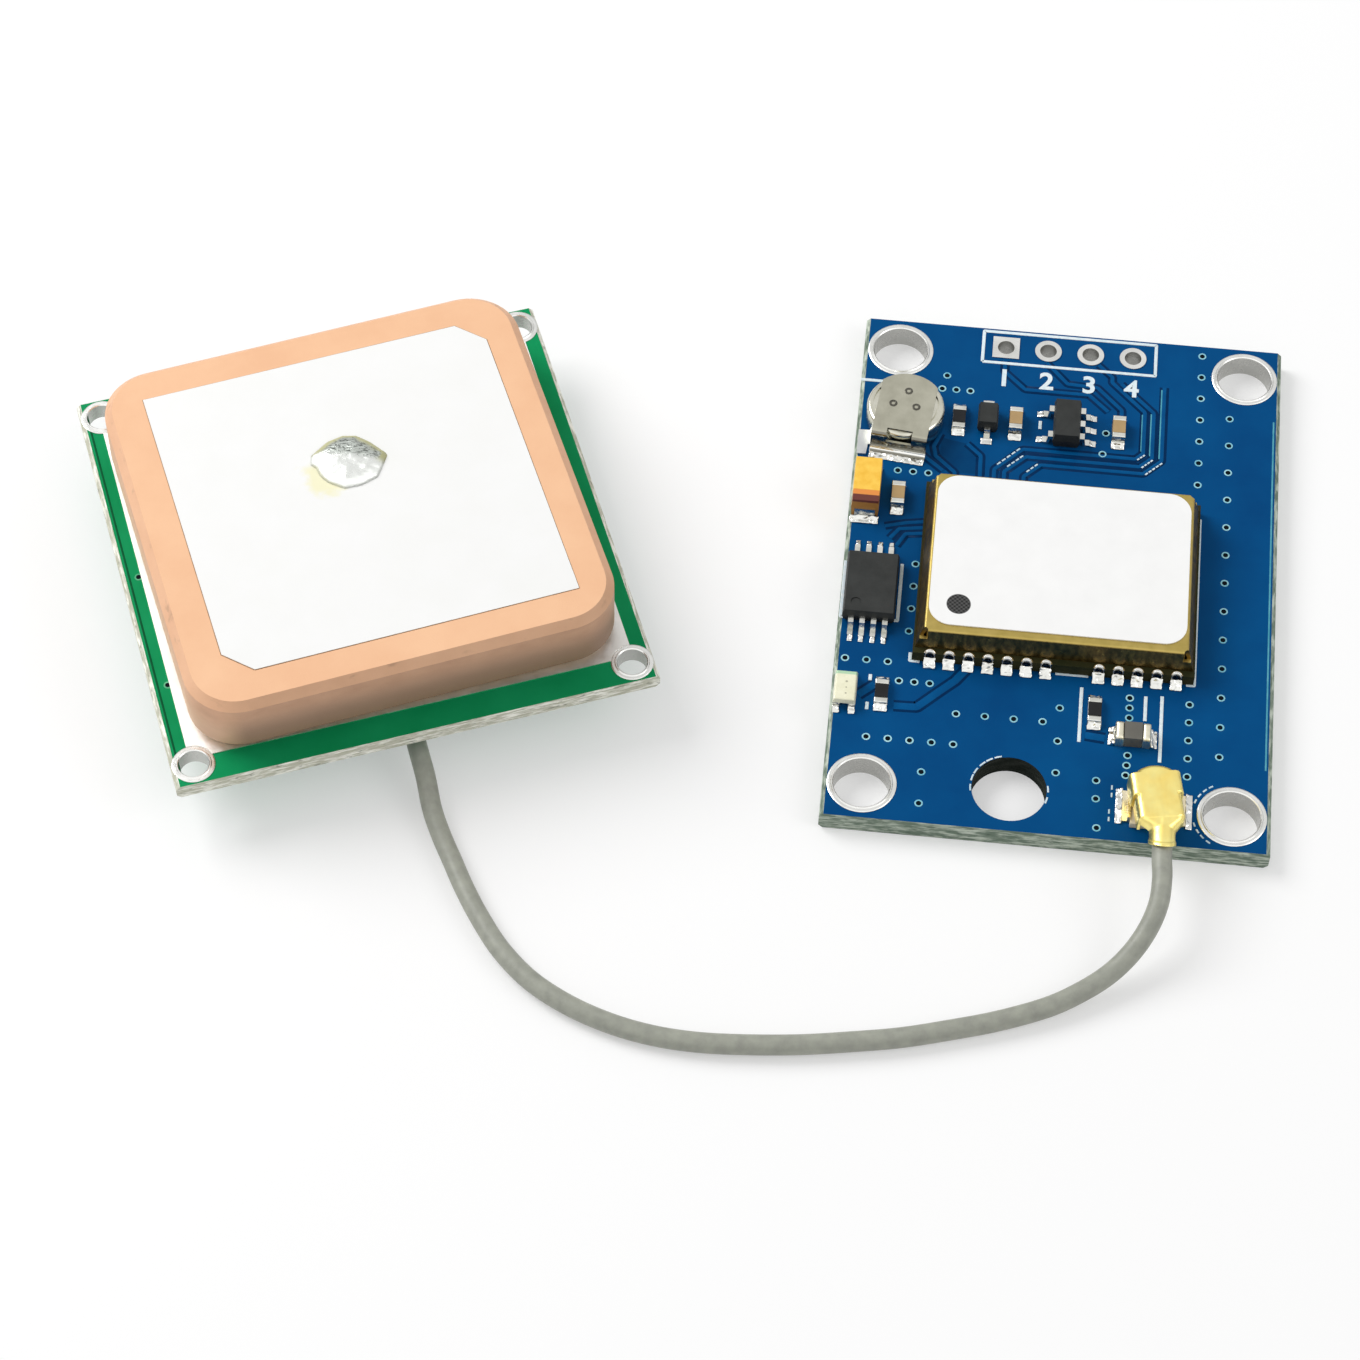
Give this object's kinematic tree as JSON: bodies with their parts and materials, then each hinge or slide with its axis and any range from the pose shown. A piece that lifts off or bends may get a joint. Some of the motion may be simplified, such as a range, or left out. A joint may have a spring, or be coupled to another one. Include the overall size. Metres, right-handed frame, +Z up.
{
  "type": "gps receiver module with patch antenna",
  "caption": "Small blue receiver circuit board with a shielded module, joined by a thin coaxial cable to a square ceramic patch antenna on its own board.",
  "frame": {"origin": "centre of the receiver board's four mounting holes, on its underside", "axes": "+X across the receiver board towards its right edge, with the antenna to the left; +Y along the board towards its header holes; +Z up out of the component side"},
  "size_m": [0.0705, 0.0508, 0.0088],
  "materials": {
    "blue_solder_mask": "semi-gloss blue lacquer over glass-fibre laminate",
    "tinned_copper": "bright tinned copper",
    "carrier_laminate": "dark lacquered laminate",
    "shield_plate": "satin gold-toned plated sheet",
    "label_paper": "white film label",
    "solder": "shiny reflowed solder",
    "black_moulding": "matt moulded black epoxy",
    "plated_lead": "tin-plated lead frame",
    "crystal_can": "drawn metal lid",
    "filter_ceramic": "fired ceramic package",
    "cell_steel": "polished nickel-plated steel",
    "tab_steel": "rolled nickel-plated strip",
    "tantalum_epoxy": "yellow moulded epoxy with an orange band",
    "capacitor_ceramic": "tan fired ceramic",
    "resistor_ceramic": "white alumina",
    "resistor_glaze": "black overcoat",
    "ferrite": "dark grey ferrite",
    "lamp_base": "pale laminate",
    "lamp_moulding": "milky clear moulding",
    "socket_moulding": "ivory moulding",
    "contact_gold": "gold-plated sheet",
    "insulator_white": "white insulator",
    "cable_jacket": "grey extruded jacket",
    "green_solder_mask": "semi-gloss green lacquer over glass-fibre laminate",
    "adhesive_foam": "white adhesive pad",
    "patch_ceramic": "pressed and fired peach ceramic",
    "silver_electrode": "fired silver paste, matt white",
    "can_tinplate": "tinplate"
  },
  "bodies": {
    "root": {"receiver_board": "blue_solder_mask", "mounting_eyelets": "tinned_copper", "header_pads": "tinned_copper", "module_carrier": "carrier_laminate", "module_shield": "shield_plate", "module_label": "label_paper", "module_solder": "solder", "receiver_chip": "black_moulding", "reference_crystal": "crystal_can", "band_filter": "filter_ceramic", "backup_cell": "cell_steel", "cell_upper_tab": "tab_steel", "cell_lower_tab": "tab_steel", "tantalum_body": "tantalum_epoxy", "tantalum_terminals": "plated_lead", "capacitor_bodies": "capacitor_ceramic", "capacitor_ends": "plated_lead", "resistor_bodies": "resistor_ceramic", "resistor_coats": "resistor_glaze", "resistor_ends": "plated_lead", "inductor_core": "ferrite", "inductor_ends": "plated_lead", "led_base": "lamp_base", "led_lens": "lamp_moulding", "led_contacts": "plated_lead", "diode_body": "black_moulding", "diode_leads": "plated_lead", "regulator_body": "black_moulding", "regulator_leads": "plated_lead", "memory_body": "black_moulding", "memory_leads": "plated_lead", "part_solder": "solder", "socket_base": "socket_moulding", "socket_ring": "contact_gold", "socket_pin": "contact_gold", "plug_shell": "contact_gold", "plug_insulator": "insulator_white", "plug_contact": "contact_gold", "antenna_cable": "cable_jacket", "antenna_board": "green_solder_mask", "antenna_eyelets": "tinned_copper", "antenna_ground": "tinned_copper", "adhesive_pad": "adhesive_foam", "ceramic_patch": "patch_ceramic", "patch_electrode": "silver_electrode", "feed_pin": "plated_lead", "feed_solder": "solder", "antenna_can": "can_tinplate", "amplifier_body": "black_moulding", "amplifier_leads": "plated_lead", "antenna_filter": "filter_ceramic", "cable_joint": "solder"}
  },
  "joints": []
}
